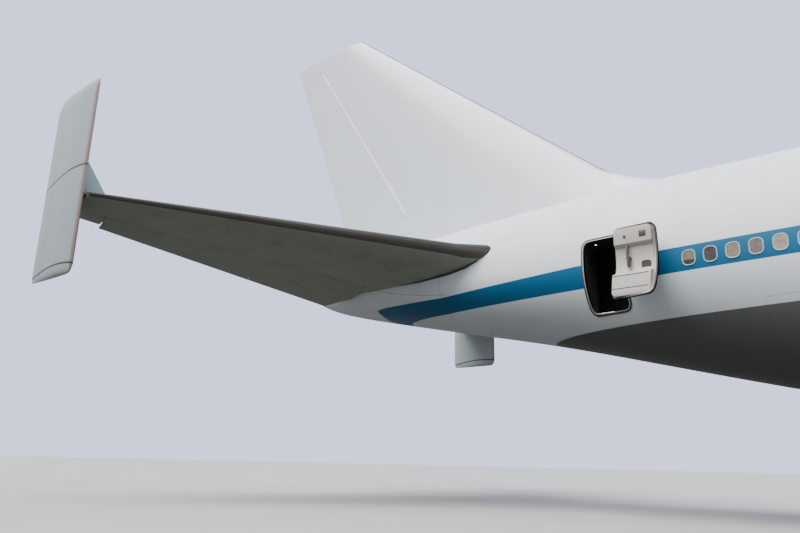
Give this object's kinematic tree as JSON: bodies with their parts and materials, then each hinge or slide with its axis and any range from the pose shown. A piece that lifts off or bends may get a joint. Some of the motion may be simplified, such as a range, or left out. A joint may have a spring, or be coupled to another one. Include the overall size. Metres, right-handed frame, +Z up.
{
  "type": "half-scale model of a four-engine wide-body carrier aircraft",
  "caption": "Wide-body jet that carries another craft on struts above its body, with end plates on its tailplane, wing-mounted engines, steering gear and hinged control surfaces.",
  "frame": {"origin": "on the ground, below the middle of the overall length and on the centre line", "axes": "+X towards the nose, +Y to the left of the aircraft, +Z up"},
  "size_m": [35.33, 29.82, 9.665],
  "materials": {
    "body_paint": "glossy white paint",
    "belly_paint": "satin grey paint",
    "wing_paint": "satin grey paint",
    "tail_paint": "satin grey paint",
    "pylon_paint": "satin white paint",
    "strut_paint": "satin white paint",
    "engine_metal": "heat-stained metal",
    "fan_metal": "dark satin metal",
    "gear_metal": "satin silver paint",
    "tyre_rubber": "matt rubber"
  },
  "bodies": {
    "airframe": {"nose_section": "body_paint", "forward_body": "body_paint", "centre_body": "body_paint", "aft_body": "body_paint", "tail_body": "body_paint", "belly_fairing": "belly_paint", "nose_gear_strut": "gear_metal", "fin": "body_paint", "front_strut": "strut_paint", "door": "body_paint", "wing_left": "wing_paint", "tailplane_left": "tail_paint", "end_plate_left": "body_paint", "wing_gear_left": "gear_metal", "body_gear_left": "gear_metal", "rear_strut_left": "strut_paint", "pylon_inner_left": "pylon_paint", "cowl_inner_left": "body_paint", "core_inner_left": "engine_metal", "pylon_outer_left": "pylon_paint", "cowl_outer_left": "body_paint", "core_outer_left": "engine_metal", "wing_right": "wing_paint", "tailplane_right": "tail_paint", "end_plate_right": "body_paint", "wing_gear_right": "gear_metal", "body_gear_right": "gear_metal", "rear_strut_right": "strut_paint", "pylon_inner_right": "pylon_paint", "cowl_inner_right": "body_paint", "core_inner_right": "engine_metal", "pylon_outer_right": "pylon_paint", "cowl_outer_right": "body_paint", "core_outer_right": "engine_metal"},
    "nose_gear_fork": {"nose_gear_fork": "gear_metal"},
    "nose_wheels": {"nose_wheels": "tyre_rubber"},
    "rudder_lower": {"rudder_lower": "body_paint"},
    "rudder_upper": {"rudder_upper": "body_paint"},
    "fan_inner_left": {"fan_inner_left": "fan_metal"},
    "fan_outer_left": {"fan_outer_left": "fan_metal"},
    "aileron_inner_left": {"aileron_inner_left": "wing_paint"},
    "aileron_outer_left": {"aileron_outer_left": "wing_paint"},
    "elevator_inner_left": {"elevator_inner_left": "tail_paint"},
    "elevator_outer_left": {"elevator_outer_left": "tail_paint"},
    "body_truck_left": {"body_truck_left": "gear_metal"},
    "body_wheels_front_left": {"body_wheels_front_left": "tyre_rubber"},
    "wing_wheels_front_left": {"wing_wheels_front_left": "tyre_rubber"},
    "body_wheels_rear_left": {"body_wheels_rear_left": "tyre_rubber"},
    "wing_wheels_rear_left": {"wing_wheels_rear_left": "tyre_rubber"},
    "fan_inner_right": {"fan_inner_right": "fan_metal"},
    "fan_outer_right": {"fan_outer_right": "fan_metal"},
    "aileron_inner_right": {"aileron_inner_right": "wing_paint"},
    "aileron_outer_right": {"aileron_outer_right": "wing_paint"},
    "elevator_inner_right": {"elevator_inner_right": "tail_paint"},
    "elevator_outer_right": {"elevator_outer_right": "tail_paint"},
    "body_truck_right": {"body_truck_right": "gear_metal"},
    "body_wheels_front_right": {"body_wheels_front_right": "tyre_rubber"},
    "wing_wheels_front_right": {"wing_wheels_front_right": "tyre_rubber"},
    "body_wheels_rear_right": {"body_wheels_rear_right": "tyre_rubber"},
    "wing_wheels_rear_right": {"wing_wheels_rear_right": "tyre_rubber"}
  },
  "joints": [
    {"name": "nose_gear_steer", "type": "hinge", "parent": "airframe", "child": "nose_gear_fork", "pos_m": [13.815, 0, 0.31], "axis": [0, 0, 1], "range_deg": [-70, 70]},
    {"name": "nose_wheels_roll", "type": "hinge", "parent": "nose_gear_fork", "child": "nose_wheels", "pos_m": [13.815, 0, 0.31], "axis": [0, 1, 0], "continuous": true},
    {"name": "rudder_lower_swing", "type": "hinge", "parent": "airframe", "child": "rudder_lower", "pos_m": [-14.14105, 0, 5.21103], "axis": [-0.5448, 0, 0.8385], "range_deg": [-25, 25]},
    {"name": "rudder_upper_swing", "type": "hinge", "parent": "airframe", "child": "rudder_upper", "pos_m": [-15.02166, 0, 6.56635], "axis": [-0.5448, 0, 0.8385], "range_deg": [-25, 25]},
    {"name": "fan_inner_left_spin", "type": "hinge", "parent": "airframe", "child": "fan_inner_left", "pos_m": [5.14, 5.9, 1.165], "axis": [1, 0, 0], "continuous": true},
    {"name": "fan_outer_left_spin", "type": "hinge", "parent": "airframe", "child": "fan_outer_left", "pos_m": [1.04, 10.6, 1.6], "axis": [1, 0, 0], "continuous": true},
    {"name": "aileron_inner_left_swing", "type": "hinge", "parent": "airframe", "child": "aileron_inner_left", "pos_m": [-0.83473, 6.4256, 2.14608], "axis": [0.5486, -0.8288, -0.1102], "range_deg": [-20, 20]},
    {"name": "aileron_outer_left_swing", "type": "hinge", "parent": "airframe", "child": "aileron_outer_left", "pos_m": [-3.73392, 10.8056, 2.72864], "axis": [0.5486, -0.8288, -0.1102], "range_deg": [-25, 15]},
    {"name": "elevator_inner_left_swing", "type": "hinge", "parent": "airframe", "child": "elevator_inner_left", "pos_m": [-14.25193, 1.07698, 3.74561], "axis": [0.4401, -0.8906, -0.1147], "range_deg": [-29, 11]},
    {"name": "elevator_outer_left_swing", "type": "hinge", "parent": "airframe", "child": "elevator_outer_left", "pos_m": [-15.13172, 2.8575, 3.97499], "axis": [0.4401, -0.8906, -0.1147], "range_deg": [-29, 11]},
    {"name": "body_truck_left_steer", "type": "hinge", "parent": "airframe", "child": "body_truck_left", "pos_m": [0.245, 0.9525, 0.2925], "axis": [0, 0, 1], "range_deg": [-13, 13]},
    {"name": "body_wheels_front_left_roll", "type": "hinge", "parent": "body_truck_left", "child": "body_wheels_front_left", "pos_m": [0.6135, 0.9525, 0.2925], "axis": [0, 1, 0], "continuous": true},
    {"name": "wing_wheels_front_left_roll", "type": "hinge", "parent": "airframe", "child": "wing_wheels_front_left", "pos_m": [2.1485, 2.75, 0.2925], "axis": [0, 1, 0], "continuous": true},
    {"name": "body_wheels_rear_left_roll", "type": "hinge", "parent": "body_truck_left", "child": "body_wheels_rear_left", "pos_m": [-0.1235, 0.9525, 0.2925], "axis": [0, 1, 0], "continuous": true},
    {"name": "wing_wheels_rear_left_roll", "type": "hinge", "parent": "airframe", "child": "wing_wheels_rear_left", "pos_m": [1.4115, 2.75, 0.2925], "axis": [0, 1, 0], "continuous": true},
    {"name": "fan_inner_right_spin", "type": "hinge", "parent": "airframe", "child": "fan_inner_right", "pos_m": [5.14, -5.9, 1.165], "axis": [1, 0, 0], "continuous": true},
    {"name": "fan_outer_right_spin", "type": "hinge", "parent": "airframe", "child": "fan_outer_right", "pos_m": [1.04, -10.6, 1.6], "axis": [1, 0, 0], "continuous": true},
    {"name": "aileron_inner_right_swing", "type": "hinge", "parent": "airframe", "child": "aileron_inner_right", "pos_m": [-0.83473, -6.4256, 2.14608], "axis": [-0.5486, -0.8288, 0.1102], "range_deg": [-20, 20]},
    {"name": "aileron_outer_right_swing", "type": "hinge", "parent": "airframe", "child": "aileron_outer_right", "pos_m": [-3.73392, -10.8056, 2.72864], "axis": [-0.5486, -0.8288, 0.1102], "range_deg": [-25, 15]},
    {"name": "elevator_inner_right_swing", "type": "hinge", "parent": "airframe", "child": "elevator_inner_right", "pos_m": [-14.25193, -1.07698, 3.74561], "axis": [-0.4401, -0.8906, 0.1147], "range_deg": [-29, 11]},
    {"name": "elevator_outer_right_swing", "type": "hinge", "parent": "airframe", "child": "elevator_outer_right", "pos_m": [-15.13172, -2.8575, 3.97499], "axis": [-0.4401, -0.8906, 0.1147], "range_deg": [-29, 11]},
    {"name": "body_truck_right_steer", "type": "hinge", "parent": "airframe", "child": "body_truck_right", "pos_m": [0.245, -0.9525, 0.2925], "axis": [0, 0, 1], "range_deg": [-13, 13]},
    {"name": "body_wheels_front_right_roll", "type": "hinge", "parent": "body_truck_right", "child": "body_wheels_front_right", "pos_m": [0.6135, -0.9525, 0.2925], "axis": [0, 1, 0], "continuous": true},
    {"name": "wing_wheels_front_right_roll", "type": "hinge", "parent": "airframe", "child": "wing_wheels_front_right", "pos_m": [2.1485, -2.75, 0.2925], "axis": [0, 1, 0], "continuous": true},
    {"name": "body_wheels_rear_right_roll", "type": "hinge", "parent": "body_truck_right", "child": "body_wheels_rear_right", "pos_m": [-0.1235, -0.9525, 0.2925], "axis": [0, 1, 0], "continuous": true},
    {"name": "wing_wheels_rear_right_roll", "type": "hinge", "parent": "airframe", "child": "wing_wheels_rear_right", "pos_m": [1.4115, -2.75, 0.2925], "axis": [0, 1, 0], "continuous": true}
  ],
  "couplings": [
    {"joint": "rudder_upper_swing", "follows": "rudder_lower_swing", "ratio": 1},
    {"joint": "aileron_inner_right_swing", "follows": "aileron_inner_left_swing", "ratio": -1},
    {"joint": "elevator_outer_left_swing", "follows": "elevator_inner_left_swing", "ratio": 1},
    {"joint": "elevator_inner_right_swing", "follows": "elevator_inner_left_swing", "ratio": 1},
    {"joint": "elevator_outer_right_swing", "follows": "elevator_inner_left_swing", "ratio": 1}
  ]
}
